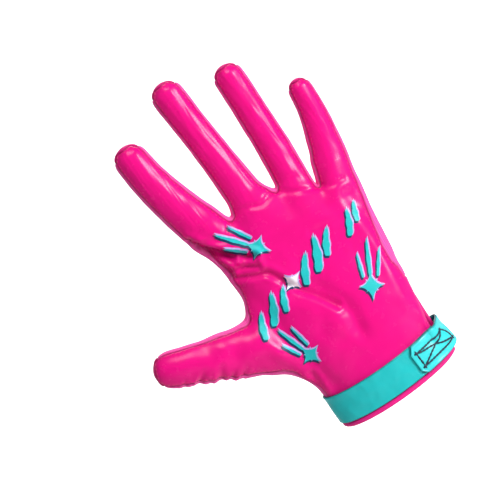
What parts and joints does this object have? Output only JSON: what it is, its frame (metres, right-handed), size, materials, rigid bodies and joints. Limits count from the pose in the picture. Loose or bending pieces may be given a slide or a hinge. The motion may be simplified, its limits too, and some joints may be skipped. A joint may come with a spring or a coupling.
{
  "type": "football receiver glove",
  "caption": "Left-hand football receiver glove, glossy pink palm, knit back, teal wrist band with a hook-and-loop strap.",
  "frame": {"origin": "centre of the wrist opening, at the level where the hand goes in", "axes": "+Z towards the fingertips, -Y out of the palm, +X towards the little finger's side"},
  "size_m": [0.1829, 0.0413, 0.2407],
  "materials": {
    "palm_silicone": "glossy",
    "back_knit": "matte",
    "gusset_knit": "matte",
    "binding_tape": "satin",
    "teal_band": "satin",
    "teal_strap": "satin",
    "print_ink": "satin",
    "thread": "matte"
  },
  "bodies": {
    "root": {"palm_panel": "palm_silicone", "back_panel": "back_knit", "side_ulnar": "gusset_knit", "side_thumb": "gusset_knit", "gusset_thumb": "gusset_knit", "gusset_index_middle": "gusset_knit", "gusset_middle_ring": "gusset_knit", "gusset_ring_little": "gusset_knit", "cuff_binding": "binding_tape", "notch_binding": "binding_tape", "wrist_band": "teal_band", "closure_strap": "teal_strap"}
  },
  "joints": []
}
